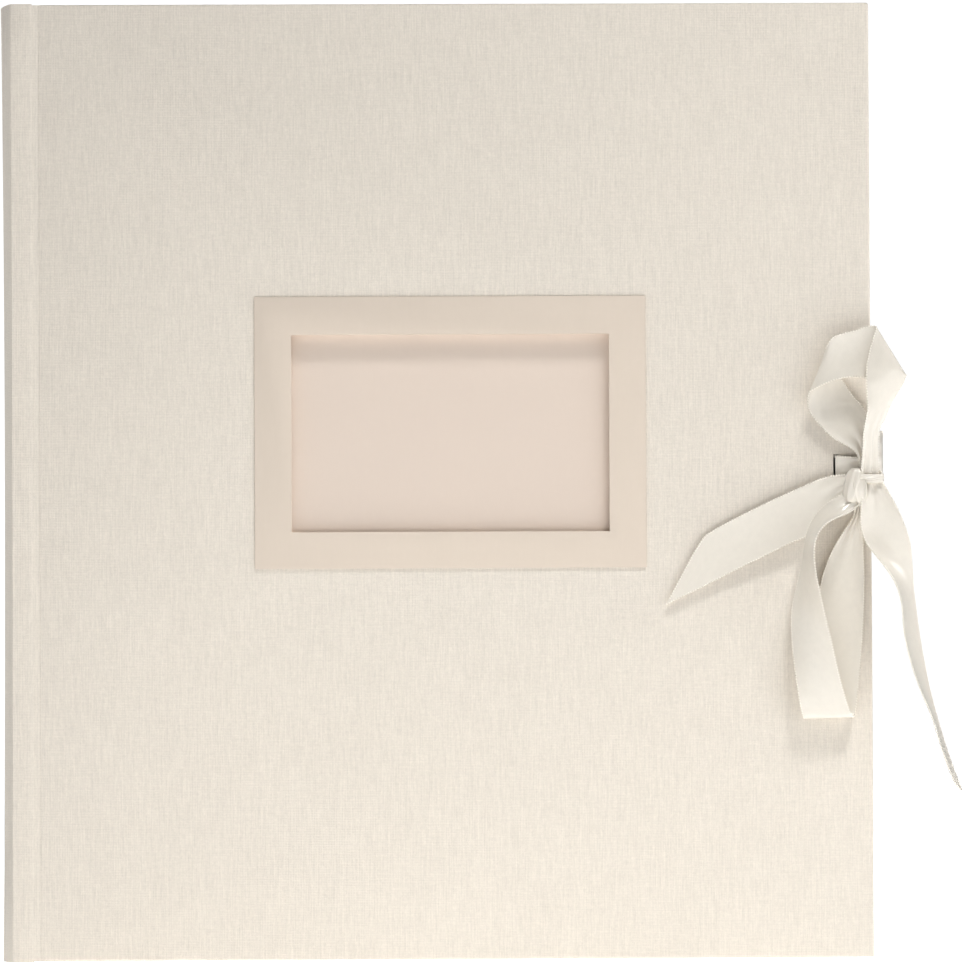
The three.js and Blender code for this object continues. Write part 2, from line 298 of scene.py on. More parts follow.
@dataclass(frozen=True)
class SatinFinish:
    """Satin ribbon: long floats along the ribbon, glossy across them."""

    name: str = "satin_ribbon"
    colour: Colour = (0.80, 0.75, 0.665, 1.0)
    roughness: float = 0.22

    def build(self) -> bpy.types.Material:
        """Make the material.

        Returns:
            The satin material, laid along the UV map named ribbon.
        """
        s = Shader(self.name)
        lines = s.noise(s.place((900, 16, 1), "ribbon"), 1.0, 3.0, 0.7)
        soft = s.noise(s.place((6, 5, 1), "ribbon"), 1.0, 2.0)
        tone = s.math("ADD", s.math("MULTIPLY", lines, 0.6), s.math("MULTIPLY", soft, 0.4))
        colour = s.ramp(tone, [(0.35, shade(self.colour, 0.965)), (0.65, shade(self.colour, 1.03))])
        tangent = s.node("ShaderNodeTangent", direction_type="UV_MAP", uv_map="ribbon")
        s.set(Base_Color=colour, Roughness=self.roughness, Specular_IOR_Level=0.9)
        s.set(Anisotropic=0.55, Tangent=tangent.outputs[0])
        s.set(Sheen_Weight=0.25, Sheen_Roughness=0.35)
        s.set(Normal=s.bump(lines, 0.12, 0.05 * MM))
        return s.material


@dataclass(frozen=True)
class ThreadFinish:
    """Cotton or picot thread: soft, with twisted strands."""

    name: str
    colour: Colour
    pitch: float = 0.5 * MM

    def build(self) -> bpy.types.Material:
        """Make the material.

        Returns:
            The thread material.
        """
        s = Shader(self.name)
        strands = s.noise(s.place((1, 1, 1)), 1 / self.pitch, 2.0)
        colour = s.ramp(strands, [(0.3, shade(self.colour, 0.9)), (0.7, shade(self.colour, 1.06))])
        s.set(Base_Color=colour, Roughness=0.7, Sheen_Weight=0.3, Sheen_Roughness=0.4)
        s.set(Normal=s.bump(strands, 0.3, 0.1 * MM))
        return s.material


@dataclass(frozen=True)
class GauzeFinish:
    """Open-weave mull: crossed threads with holes between them."""

    name: str = "gauze"
    colour: Colour = (0.68, 0.62, 0.52, 1.0)
    pitch: float = 1.4 * MM

    def build(self) -> bpy.types.Material:
        """Make the material.

        Returns:
            The gauze material.
        """
        s = Shader(self.name)
        parts = s.node("ShaderNodeSeparateXYZ", {0: s.place((1, 1, 1))})
        turn = 2 * math.pi / self.pitch
        across = s.math("SINE", s.math("MULTIPLY", parts.outputs[1], turn))
        along = s.math("SINE", s.math("MULTIPLY", parts.outputs[2], turn))
        net = s.math("MAXIMUM", across, along)
        colour = s.ramp(net, [(0.1, shade(self.colour, 0.6)), (0.6, self.colour)])
        s.set(Base_Color=colour, Roughness=0.95, Normal=s.bump(net, 0.6, 0.3 * MM))
        return s.material


@dataclass
class Finishes:
    """Every finish of the album, made once."""

    linen: bpy.types.Material = field(init=False)
    frame_card: bpy.types.Material = field(init=False)
    backing: bpy.types.Material = field(init=False)
    endpaper: bpy.types.Material = field(init=False)
    leaf: bpy.types.Material = field(init=False)
    guard: bpy.types.Material = field(init=False)
    kraft: bpy.types.Material = field(init=False)
    board: bpy.types.Material = field(init=False)
    satin: bpy.types.Material = field(init=False)
    picot: bpy.types.Material = field(init=False)
    cotton: bpy.types.Material = field(init=False)
    gauze: bpy.types.Material = field(init=False)

    def __post_init__(self) -> None:
        """Build the materials."""
        self.linen = LinenFinish().build()
        self.frame_card = PaperFinish("frame_card", (0.705, 0.612, 0.519, 1.0), 0.008).build()
        self.backing = PaperFinish("backing_card", (0.734, 0.625, 0.54, 1.0), 0.006).build()
        self.endpaper = PaperFinish("endpaper", (0.86, 0.82, 0.74, 1.0), 0.02, 420.0).build()
        self.leaf = PaperFinish("leaf_paper", (0.85, 0.81, 0.73, 1.0), 0.025, 520.0).build()
        self.guard = PaperFinish("guard_paper", (0.76, 0.71, 0.62, 1.0), 0.05, 700.0).build()
        self.kraft = PaperFinish("lining_paper", (0.42, 0.32, 0.22, 1.0), 0.08, 500.0).build()
        self.board = BoardFinish().build()
        self.satin = SatinFinish().build()
        self.picot = ThreadFinish("picot_thread", (0.90, 0.85, 0.76, 1.0)).build()
        self.cotton = ThreadFinish("band_cotton", (0.86, 0.81, 0.72, 1.0)).build()
        self.gauze = GauzeFinish().build()


# ---------------------------------------------------------------------------
# mesh helpers
# ---------------------------------------------------------------------------
@dataclass(frozen=True)
class Box:
    """A box between two corners, in metres."""

    low: Vector
    high: Vector

    @classmethod
    def of(cls, node: str) -> "Box":
        """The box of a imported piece."""
        low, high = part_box(node)
        return cls(Vector(low), Vector(high))

    def grown(self, x: float = 0.0, y: float = 0.0, z: float = 0.0) -> "Box":
        """The box with each side moved out by so much."""
        by = Vector((x, y, z))
        return Box(self.low - by, self.high + by)

    @property
    def middle(self) -> Vector:
        """Middle of the box."""
        return (self.low + self.high) / 2


def new_object(name: str, mesh: bpy.types.Mesh, material: bpy.types.Material) -> bpy.types.Object:
    """Put a mesh in the scene.

    Args:
        name: name of the piece.
        mesh: its mesh, in the album's own space.
        material: its finish.
    Returns:
        The new object.
    """
    mesh.materials.clear()
    mesh.materials.append(material)
    made = bpy.data.objects.new(name, mesh)
    bpy.context.scene.collection.objects.link(made)
    return made


def from_lists(name: str, points: list, faces: list, material: bpy.types.Material) -> bpy.types.Object:
    """An object from points and faces."""
    mesh = bpy.data.meshes.new(name)
    mesh.from_pydata([tuple(p) for p in points], [], faces)
    mesh.validate()
    return new_object(name, mesh, material)


def box_object(name: str, box: Box, material: bpy.types.Material) -> bpy.types.Object:
    """A plain box, used as a start or as a cutter."""
    mesh = bpy.data.meshes.new(name)
    bm = bmesh.new()
    bmesh.ops.create_cube(bm, size=1.0)
    size = box.high - box.low
    for vert in bm.verts:
        vert.co = Vector(a * b for a, b in zip(vert.co, size)) + box.middle
    bmesh.ops.recalc_face_normals(bm, faces=bm.faces)
    bm.to_mesh(mesh)
    bm.free()
    return new_object(name, mesh, material)


def settle(piece: bpy.types.Object, smooth: float | None = None) -> bpy.types.Object:
    """Turn a piece with modifiers into a plain mesh.

    Args:
        piece: the object, with its modifiers.
        smooth: angle in degrees under which edges are shaded smooth, or None for flat.
    Returns:
        The same object.
    """
    bpy.context.view_layer.update()
    graph = bpy.context.evaluated_depsgraph_get()
    mesh = bpy.data.meshes.new_from_object(piece.evaluated_get(graph))
    piece.modifiers.clear()
    piece.data = mesh
    if smooth is not None:
        mesh.shade_smooth()
        mesh.set_sharp_from_angle(angle=math.radians(smooth))
    return piece


def soften(piece: bpy.types.Object, width: float, segments: int = 3) -> None:
    """Round the edges of a piece."""
    edge = piece.modifiers.new("edges", "BEVEL")
    edge.width = width
    edge.segments = segments
    edge.limit_method = "ANGLE"
    edge.angle_limit = math.radians(40)


def carve(piece: bpy.types.Object, *boxes: Box) -> None:
    """Cut boxes out of a piece."""
    for box in boxes:
        cutter = box_object("cutter", box, piece.data.materials[0])
        cut = piece.modifiers.new("cut", "BOOLEAN")
        cut.object = cutter
        cut.solver = "EXACT"
        settle(piece)
        bpy.data.objects.remove(cutter)


def sweep_profile(
    name: str, profile: list[Pair], low: float, high: float, material: bpy.types.Material
) -> bpy.types.Object:
    """A closed outline in X and Y drawn along Z, with its ends closed."""
    count = len(profile)
    points = [(x, y, z) for z in (low, high) for x, y in profile]
    faces = [(i, (i + 1) % count, (i + 1) % count + count, i + count) for i in range(count)]
    faces += [tuple(range(count))[::-1], tuple(range(count, 2 * count))]
    piece = from_lists(name, points, faces, material)
    bm = bmesh.new()
    bm.from_mesh(piece.data)
    bmesh.ops.recalc_face_normals(bm, faces=bm.faces)
    bm.to_mesh(piece.data)
    bm.free()
    return piece


def report(piece: bpy.types.Object, body: str) -> bpy.types.Object:
    """Log a finished piece.

    Args:
        piece: the finished piece.
        body: body or bodies that it moves with, for the log.
    Returns:
        The same piece.
    """
    LOG.info("%s: %d faces, on %s", piece.name, len(piece.data.polygons), body)
    return piece


# ---------------------------------------------------------------------------
# geometry nodes
# ---------------------------------------------------------------------------
class BeadRow:
    """Geometry Nodes tree that strings small beads along a mesh line."""

    def __init__(self, name: str = "bead_row") -> None:
        """Build the tree, with the inputs Spacing, Bead, Flatness and Finish."""
        tree = bpy.data.node_groups.new(name, "GeometryNodeTree")
        face = tree.interface
        face.new_socket("Geometry", in_out="INPUT", socket_type="NodeSocketGeometry")
        for label, start in (("Spacing", 0.9 * MM), ("Bead", 0.3 * MM), ("Flatness", 1.0)):
            socket = face.new_socket(label, in_out="INPUT", socket_type="NodeSocketFloat")
            socket.default_value = start
        face.new_socket("Finish", in_out="INPUT", socket_type="NodeSocketMaterial")
        face.new_socket("Geometry", in_out="OUTPUT", socket_type="NodeSocketGeometry")
        nodes, links = tree.nodes, tree.links
        enter, leave = nodes.new("NodeGroupInput"), nodes.new("NodeGroupOutput")
        curve = nodes.new("GeometryNodeMeshToCurve")
        even = nodes.new("GeometryNodeResampleCurve")
        even.mode = "LENGTH"
        bead = nodes.new("GeometryNodeMeshIcoSphere")
        bead.inputs["Subdivisions"].default_value = 2
        strew = nodes.new("GeometryNodeInstanceOnPoints")
        turn = nodes.new("FunctionNodeAlignRotationToVector")
        turn.axis = "Z"
        tangent = nodes.new("GeometryNodeInputTangent")
        keep = nodes.new("GeometryNodeCaptureAttribute")
        keep.capture_items.new("VECTOR", "tangent")
        size = nodes.new("ShaderNodeCombineXYZ")
        real = nodes.new("GeometryNodeRealizeInstances")
        dress = nodes.new("GeometryNodeSetMaterial")
        links.new(enter.outputs["Geometry"], curve.inputs["Mesh"])
        links.new(curve.outputs["Curve"], even.inputs["Curve"])
        links.new(enter.outputs["Spacing"], even.inputs["Length"])
        links.new(even.outputs["Curve"], keep.inputs["Geometry"])
        links.new(tangent.outputs[0], keep.inputs["tangent"])
        links.new(keep.outputs["Geometry"], strew.inputs["Points"])
        links.new(keep.outputs["tangent"], turn.inputs["Vector"])
        links.new(turn.outputs["Rotation"], strew.inputs["Rotation"])
        links.new(enter.outputs["Bead"], bead.inputs["Radius"])
        links.new(bead.outputs["Mesh"], strew.inputs["Instance"])
        size.inputs["X"].default_value = 1.0
        size.inputs["Y"].default_value = 1.0
        links.new(enter.outputs["Flatness"], size.inputs["Z"])
        links.new(size.outputs[0], strew.inputs["Scale"])
        links.new(strew.outputs["Instances"], real.inputs["Geometry"])
        links.new(real.outputs["Geometry"], dress.inputs["Geometry"])
        links.new(enter.outputs["Finish"], dress.inputs["Material"])
        links.new(dress.outputs["Geometry"], leave.inputs["Geometry"])
        self.tree = tree

    def run(
        self,
        name: str,
        lines: list[list[Vector]],
        finish: bpy.types.Material,
        spacing: float,
        bead: float,
        flatness: float = 1.0,
    ) -> bpy.types.Object:
        """String beads along lines.

        Args:
            name: name of the new piece.
            lines: the lines' points, in metres.
            finish: material of the beads.
            spacing: distance between beads, in metres.
            bead: radius of a bead, in metres.
            flatness: length of a bead along the line, against its width.
        Returns:
            The beads, as one plain mesh.
        """
        points = [p for line in lines for p in line]
        edges = []
        start = 0
        for line in lines:
            edges += [(start + i, start + i + 1) for i in range(len(line) - 1)]
            start += len(line)
        mesh = bpy.data.meshes.new(name)
        mesh.from_pydata([tuple(p) for p in points], edges, [])
        made = new_object(name, mesh, finish)
        rule = made.modifiers.new("beads", "NODES")
        rule.node_group = self.tree
        values = {"Spacing": spacing, "Bead": bead, "Flatness": flatness, "Finish": finish}
        for item in self.tree.interface.items_tree:
            if item.item_type == "SOCKET" and item.in_out == "INPUT" and item.name in values:
                rule[item.identifier] = values[item.name]
        return settle(made, 180.0)


# ---------------------------------------------------------------------------
# ribbon
# ---------------------------------------------------------------------------
@dataclass(frozen=True)
class Station:
    """One place along a ribbon, in millimetres from the middle of the knot.

    left and right are the ribbon's two edges as seen from the front, across and up.
    depth is how far the middle stands out from the cover's face. lean turns the ribbon out
    of the plane of the cover: above 0 its left edge stands further out. belly lifts the
    middle of its width, and fold is the height of the gathers across it.
    """

    left: Pair
    right: Pair
    depth: float
    lean: float = 0.0
    width: float = 15.0
    belly: float = 0.0
    fold: float = 0.0


def between(values: list, t: float):
    """Smooth value between the places of a list, t counted in places.

    Args:
        values: numbers or vectors.
        t: place, from 0 to the last index.
    Returns:
        The value there, on a curve through all of them.
    """
    i = min(int(t), len(values) - 2)
    f = t - i
    p1, p2 = values[i], values[i + 1]
    p0 = values[i - 1] if i > 0 else p1 + (p1 - p2)
    p3 = values[i + 2] if i + 2 < len(values) else p2 + (p2 - p1)
    a = (p1 * 3 - p0 - p2 * 3 + p3) * (f**3)
    b = (p0 * 2 - p1 * 5 + p2 * 4 - p3) * (f**2)
    return (p1 * 2 + (p2 - p0) * f + b + a) * 0.5


@dataclass
class Ribbon:
    """One stretch of satin ribbon, swept through its stations."""

    name: str
    stations: list[Station]
    body: str
    node: str
    held: str = "gathered"
    gathers: float = 2.5
    thickness: float = 0.28
    steps: int = 9
    across: int = 14
    trim: bool = True
    cut: bool = True

    def edges(self, knot: Vector, face: float) -> tuple[list[Vector], list[Vector]]:
        """The two edges' points at the stations, in metres.

        Args:
            knot: middle of the knot.
            face: y of the cover's outer face.
        Returns:
            Points of the left and of the right edge.
        """
        left, right = [], []
        for s in self.stations:
            seen = math.dist(s.left, s.right)
            out = s.lean * math.sqrt(max(0.0, s.width**2 - seen**2)) / 2
            for edge, side, points in ((s.left, 1, left), (s.right, -1, right)):
                x, z = edge
                y = face - (s.depth + side * out) * MM
                points.append(Vector((knot.x + x * MM, y, knot.z + z * MM)))
        return left, right

    def build(self, knot: Vector, face: float, finishes: Finishes, beads: BeadRow) -> list:
        """Make the ribbon and the beaded edge along both sides.

        Args:
            knot: middle of the knot.
            face: y of the cover's outer face.
            finishes: the album's finishes.
            beads: the bead rule.
        Returns:
            The ribbon, and its picot edging if it has one.
        """
        left, right = self.edges(knot, face)
        n = (len(self.stations) - 1) * self.steps
        bellies = [s.belly for s in self.stations]
        folds = [s.fold for s in self.stations]
        rows, lines = [], ([], [])
        length = 0.0
        before = None
        lengths = []
        for i in range(n + 1):
            t = i / self.steps
            a, b = between(left, t), between(right, t)
            ahead = min(t + 0.05, len(left) - 1)
            back = max(t - 0.05, 0.0)
            run = (between(left, ahead) + between(right, ahead)) - (
                between(left, back) + between(right, back)
            )
            normal = (b - a).cross(run).normalized()
            belly = max(0.0, between(bellies, t)) * MM
            fold = max(0.0, between(folds, t)) * MM
            row = []
            for k in range(self.across + 1):
                u = k / self.across
                lift = belly * (1 - (2 * u - 1) ** 2)
                lift += fold * math.sin(2 * math.pi * self.gathers * u + 0.6)
                row.append(a.lerp(b, u) + normal * lift)
            rows.append(row)
            if (row[0] - row[-1]).length > 1.6 * MM:
                lines[0].append(row[0])
                lines[1].append(row[-1])
            middle = row[self.across // 2]
            length += (middle - before).length if before is not None else 0.0
            lengths.append(length)
            before = middle
        points = [p for row in rows for p in row]
        w = self.across + 1
        faces = [
            (i * w + k, i * w + k + 1, (i + 1) * w + k + 1, (i + 1) * w + k)
            for i in range(n)
            for k in range(self.across)
        ]
        piece = from_lists(self.name, points, faces, finishes.satin)
        uv = piece.data.uv_layers.new(name="ribbon")
        for loop in piece.data.loops:
            i, k = divmod(loop.vertex_index, w)
            uv.data[loop.index].uv = (k / self.across, lengths[i] / (15 * MM))
        skin = piece.modifiers.new("thickness", "SOLIDIFY")
        skin.thickness = self.thickness * MM
        skin.offset = 0.0
        settle(piece, 60.0)
        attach(piece, self.body)
        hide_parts(self.node)
        made = [report(piece, self.body)]
        if self.trim:
            edging = beads.run(
                f"{self.name}_picot", [lines[0], lines[1]], finishes.picot,
                0.9 * MM, 0.31 * MM, 1.1,
            )
            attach(edging, self.body)
            made.append(report(edging, self.body))
        LOG.info("%s: %.0f mm of ribbon", self.name, length / MM)
        if not self.cut:
            return made
        return made


UPPER_LOOP = [
    Station((0.1, -1.0), (6.0, -1.0), 7.2, 0, 8, 0, 0.5),
    Station((0.1, 2.8), (6.3, 2.4), 7.8, 0.2, 9, 0.2, 0.5),
    Station((0.6, 10.4), (6.4, 10.8), 8.8, 0.4, 11, 0.3, 0.35),
    Station((1.0, 18.0), (6.7, 18.6), 9.8, 0.5, 12, 0.4, 0.2),
    Station((1.9, 22.9), (8.3, 22.4), 10.5, 0.5, 13, 0.5, 0.1),
    Station((2.5, 26.4), (10.6, 27.8), 11.2, 0.4, 14, 0.6),
    Station((2.2, 30.9), (12.8, 31.6), 11.8, 0.3, 15, 0.8),
    Station((2.1, 35.3), (14.5, 34.4), 12.2, 0.3, 15, 1.0),
    Station((2.4, 40.5), (15.1, 36.2), 12.4, 0.2, 15, 1.0),
    Station((3.5, 45.6), (15.3, 36.7), 12.3, 0, 15, 0.9),
    Station((4.8, 50.0), (15.3, 37.0), 11.8, 0, 15, 0.6),
    Station((5.6, 52.6), (15.2, 37.2), 10.9, 0, 15, 0.2),
    Station((5.5, 53.3), (14.8, 36.6), 10.0),
    Station((4.3, 53.5), (12.4, 35.9), 9.4),
    Station((1.9, 53.2), (6.9, 36.0), 9.0, 0, 15, 0.3),
    Station((-0.8, 52.2), (1.6, 36.4), 9.0, 0, 15, 0.5),
    Station((-3.7, 51.5), (-2.2, 36.7), 9.2, 0, 15, 0.9),
    Station((-6.6, 50.7), (-6.0, 36.2), 9.1, 0, 15, 1.0),
    Station((-8.8, 49.8), (-9.9, 35.1), 8.5, 0, 15, 0.9),
    Station((-10.2, 47.6), (-13.7, 33.4), 7.4, 0, 15, 0.6),
    Station((-11.2, 45.0), (-16.4, 31.8), 6.0, 0, 15, 0.2),
    Station((-10.9, 42.0), (-17.1, 29.1), 4.6),
    Station((-8.4, 39.0), (-16.4, 25.5), 3.4),
    Station((-5.3, 35.6), (-13.7, 21.8), 2.7),
    Station((-1.7, 30.4), (-10.2, 18.0), 2.5, 0, 15, 0.2),
    Station((1.9, 26.0), (-6.4, 15.2), 2.7, 0, 14, 0.3, 0.1),
    Station((3.1, 21.0), (-3.0, 13.4), 3.2, 0, 10, 0.3, 0.3),
    Station((3.3, 16.0), (-0.8, 11.3), 4.0, 0, 8, 0.2, 0.5),
    Station((3.0, 10.6), (0.0, 8.8), 5.0, 0, 7, 0, 0.5),
    Station((2.5, 5.0), (0.4, 4.4), 6.0, 0, 6, 0, 0.5),
]
LOWER_LOOP = [
    Station((-3.2, -0.6), (0.2, -5.6), 7.4, -0.3, 8, 0, 0.4),
    Station((-5.6, -2.2), (-2.6, -8.0), 8.6, -0.4, 9, 0.3, 0.3),
    Station((-8.4, -3.9), (-5.3, -9.4), 9.6, -0.6, 10, 0.5, 0.1),
    Station((-11.6, -6.2), (-8.8, -10.8), 10.6, -0.8, 12, 0.6),
    Station((-14.9, -9.8), (-12.1, -12.8), 11.4, -0.9, 14, 0.6),
    Station((-17.2, -14.3), (-14.9, -16.4), 11.8, -1, 15, 0.5),
    Station((-18.6, -20.3), (-16.1, -21.0), 11.8, -1, 15, 0.4),
    Station((-19.7, -27.2), (-15.8, -27.4), 11.6, -1, 15, 0.4),
    Station((-21.4, -34.7), (-14.4, -34.7), 11.2, -1, 15, 0.4),
    Station((-22.8, -41.7), (-12.8, -41.4), 10.6, -1, 15, 0.4),
    Station((-22.7, -52.4), (-10.1, -52.4), 9.8, -1, 15, 0.4),
    Station((-21.4, -65.4), (-6.9, -65.4), 8.6, -0.6, 15.2, 0.3),
    Station((-20.2, -73.4), (-4.4, -73.4), 7.2),
    Station((-18.9, -77.3), (-2.6, -76.9), 4.9),
    Station((-18.6, -74.0), (-1.6, -74.0), 2.8),
    Station((-16.8, -65.4), (-0.4, -64.4), 2.0),
    Station((-14.5, -48.4), (1.0, -48.4), 1.7),
    Station((-13.2, -34.4), (1.6, -33.8), 1.9),
    Station((-11.5, -27.5), (1.5, -26.0), 2.3, 0, 14),
    Station((-8.6, -20.5), (1.2, -18.4), 3.1, 0, 12, 0, 0.2),
    Station((-5.0, -14.6), (0.7, -12.7), 4.3, 0, 9, 0, 0.4),
    Station((-2.3, -10.4), (0.7, -8.7), 5.4, 0, 7, 0, 0.5),
    Station((-1.4, -6.6), (0.9, -5.4), 6.4, 0, 6, 0, 0.5),
]
LEFT_TAIL = [
    Station((-1.6, 3.4), (-2.2, -2.4), 6.4, 0, 7, 0, 0.5),
    Station((-4.6, 4.0), (-5.0, -3.2), 5.6, 0, 8, 0, 0.5),
    Station((-8.2, 3.8), (-7.3, -5.4), 4.9, 0, 10, 0, 0.4),
    Station((-12.7, 2.7), (-9.6, -9.6), 4.3, 0, 13, 0.2, 0.2),
    Station((-18.0, 0.5), (-12.6, -13.6), 3.9, 0, 15, 0.3),
    Station((-23.5, -1.9), (-17.1, -16.2), 3.6, 0, 15, 0.3),
    Station((-29.7, -4.7), (-23.2, -18.7), 3.3, 0, 15, 0.3),
    Station((-35.8, -7.6), (-29.4, -21.7), 3.0, 0, 15, 0.3),
    Station((-43.3, -11.4), (-36.7, -25.2), 2.6, 0, 15, 0.3),
    Station((-48.8, -14.4), (-44.4, -29.0), 2.3, 0, 15, 0.2),
    Station((-52.4, -17.4), (-53.2, -33.4), 2.0),
    Station((-57.6, -26.0), (-61.0, -37.1), 1.8),
    Station((-64.2, -38.4), (-64.9, -39.1), 1.7),
]
RIGHT_TAIL = [
    Station((1.2, 3.2), (6.6, 3.4), 7.6, 0.2, 7, 0, 0.4),
    Station((1.2, 0.4), (7.9, 0.9), 8.4, 0.3, 9, 0.3, 0.4),
    Station((0.7, -3.3), (10.1, -3.0), 8.9, 0.3, 11, 0.6, 0.3),
    Station((0.3, -7.7), (12.6, -7.7), 8.9, 0.2, 13.4, 0.8, 0.1),
    Station((0.3, -13.3), (14.9, -13.3), 8.5, 0, 15, 0.8),
    Station((2.0, -18.7), (16.6, -18.7), 8.1, 0.3, 15, 0.6),
    Station((5.1, -23.4), (17.4, -24.4), 7.9, 0.9, 15, 0.5),
    Station((8.1, -27.4), (17.9, -28.8), 7.8, 1, 15, 0.5),
    Station((11.2, -32.6), (18.2, -33.8), 7.8, 1, 15, 0.5),
    Station((13.2, -39.4), (19.0, -40.8), 7.8, 1, 15, 0.5),
    Station((14.0, -48.6), (20.2, -50.0), 7.8, 1, 15, 0.5),
    Station((15.9, -57.9), (21.7, -58.9), 7.8, 1, 15, 0.5),
    Station((19.0, -67.4), (23.7, -68.7), 7.8, 1, 15, 0.5),
    Station((22.8, -76.6), (26.2, -78.1), 7.7, 1, 15, 0.4),
    Station((25.8, -86.0), (28.9, -87.4), 7.5, 1, 13, 0.3),
    Station((28.8, -94.2), (31.5, -95.4), 7.3, 0.9, 9, 0.1),
    Station((30.9, -98.9), (33.0, -99.8), 7.1, 0.7, 5.5),
    Station((33.4, -101.6), (34.1, -102.2), 7.0, 0.4, 2.0),
]
KNOT_BAND = [
    Station((-3.4, 4.6), (-3.6, 2.0), 7.4, 0, 5, 0, 0.1),
    Station((-1.4, 4.3), (-1.2, 1.6), 9.2, 0, 5, 0.2, 0.15),
    Station((1.0, 4.0), (1.2, 1.3), 9.9, 0, 5, 0.3, 0.15),
    Station((4.0, 3.9), (4.1, 1.2), 10.1, 0, 5, 0.3, 0.15),
    Station((6.6, 4.1), (6.7, 1.3), 9.2, 0, 5, 0.3, 0.1),
    Station((7.9, 4.2), (7.9, 1.5), 7.2, 0, 5, 0.2, 0.1),
    Station((7.2, 4.1), (7.2, 1.5), 5.2, 0, 5),
]
KNOT_WRAP = [
    Station((-2.4, 5.4), (0.6, 4.4), 8.0, 0, 5, 0.2, 0.1),
    Station((-2.6, 3.0), (1.5, 2.6), 10.2, 0, 6, 0.4, 0.2),
    Station((-2.2, 0.2), (2.0, 0.4), 11.0, 0, 6, 0.5, 0.2),
    Station((-1.7, -2.8), (2.0, -2.4), 10.7, 0, 6, 0.5, 0.2),
    Station((-0.9, -5.4), (1.8, -4.8), 9.2, 0, 5, 0.3, 0.1),
    Station((-0.2, -6.8), (1.4, -6.2), 7.0, 0, 4, 0.1),
]
FRONT_STRAND = [
    Station((-7.6, 10.4), (-7.6, -3.6), 0.3, 0, 15, 0, 0.05),
    Station((-6.5, 10.4), (-6.1, -3.0), 0.9, 0, 15, 0, 0.15),
    Station((-4.2, 10.2), (-3.4, -2.4), 1.5, 0, 15, 0.1, 0.35),
    Station((-1.2, 10.0), (-0.6, -1.8), 2.0, 0, 13, 0.1, 0.5),
    Station((2.8, 9.4), (2.8, -1.6), 2.4, 0, 12, 0.1, 0.5),
]
BACK_STRAND = [
    Station((-7.2, 11.0), (-7.2, -4.0), -37.3),
    Station((-3.0, 11.2), (-3.0, -3.8), -37.8),
    Station((2.2, 11.6), (2.2, -3.4), -37.8),
    Station((6.2, 12.2), (6.2, -2.8), -35.8),
    Station((8.2, 13.4), (8.2, -1.6), -30.0),
    Station((8.9, 15.4), (8.9, 0.4), -18.4),
    Station((8.7, 17.2), (8.7, 2.2), -7.0),
    Station((8.0, 18.6), (8.0, 4.2), 0.0),
    Station((6.6, 17.2), (6.6, 5.6), 3.6, 0, 12, 0, 0.3),
    Station((5.4, 13.0), (5.4, 4.6), 5.0, 0, 9, 0, 0.4),
]


@dataclass
class Bow:
    """The ribbon: two strands, the knot, two loops and two tails."""

    finishes: Finishes
    beads: BeadRow

    def build(self) -> None:
        """Make every stretch of the ribbon and the knot."""
        knot = Box.of("bow_knot").middle
        face = Box.of("front_cover_cloth").low.y
        front, back = Side.FRONT.body, Side.BACK.body
        for ribbon in (
            Ribbon("upper_loop", UPPER_LOOP, front, "bow_upper_loop"),
            Ribbon("lower_loop", LOWER_LOOP, front, "bow_lower_loop"),
            Ribbon("left_tail", LEFT_TAIL, front, "bow_left_tail"),
            Ribbon("right_tail", RIGHT_TAIL, front, "bow_right_tail"),
            Ribbon("knot_band", KNOT_BAND, front, "bow_knot", trim=False, cut=False),
            Ribbon("knot_wrap", KNOT_WRAP, front, "bow_knot", gathers=1.5, trim=False, cut=False),
            Ribbon("front_strand", FRONT_STRAND, front, "front_ribbon_strand"),
            Ribbon("back_strand", BACK_STRAND, back, "back_ribbon_strand"),
        ):
            ribbon.build(knot, face, self.finishes, self.beads)
        self.knot(knot, face)

    def knot(self, knot: Vector, face: float) -> None:
        """Make the knot: a band of ribbon drawn tight, full of small folds.

        Args:
            knot: middle of the knot.
            face: y of the cover's outer face.
        """
        rings, around = 30, 40
        half = Vector((3.5, 3.9, 5.9)) * MM
        centre = Vector((knot.x - 1.7 * MM, face - 7.0 * MM, knot.z + 0.4 * MM))
        points, uvs = [], []
        for i in range(rings + 1):
            v = i / rings
            height = math.cos(math.pi * v)
            plump = math.sin(math.pi * v) ** 0.55
            for k in range(around):
                u = k / around
                angle = 2 * math.pi * u
                crease = 1 + 0.07 * math.sin(9 * angle + 4.0 * v) * plump
                crease += 0.05 * math.sin(17 * angle - 7.0 * v)
                offset = Vector((
                    math.cos(angle) * half.x * plump * crease + 0.9 * MM * height,
                    math.sin(angle) * half.y * plump * crease,
                    height * half.z,
                ))
                points.append(centre + offset)
                uvs.append((u * 3, v))
        faces = [
            (i * around + k, i * around + (k + 1) % around,
             (i + 1) * around + (k + 1) % around, (i + 1) * around + k)
            for i in range(rings)
            for k in range(around)
        ]
        piece = from_lists("knot", points, faces, self.finishes.satin)
        uv = piece.data.uv_layers.new(name="ribbon")
        for loop in piece.data.loops:
            uv.data[loop.index].uv = uvs[loop.vertex_index]
        bm = bmesh.new()
        bm.from_mesh(piece.data)
        bmesh.ops.remove_doubles(bm, verts=bm.verts, dist=1e-6)
        bmesh.ops.recalc_face_normals(bm, faces=bm.faces)
        bm.to_mesh(piece.data)
        bm.free()
        settle(piece, 180.0)
        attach(piece, Side.FRONT.body)
        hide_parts("bow_knot")
        report(piece, Side.FRONT.body)


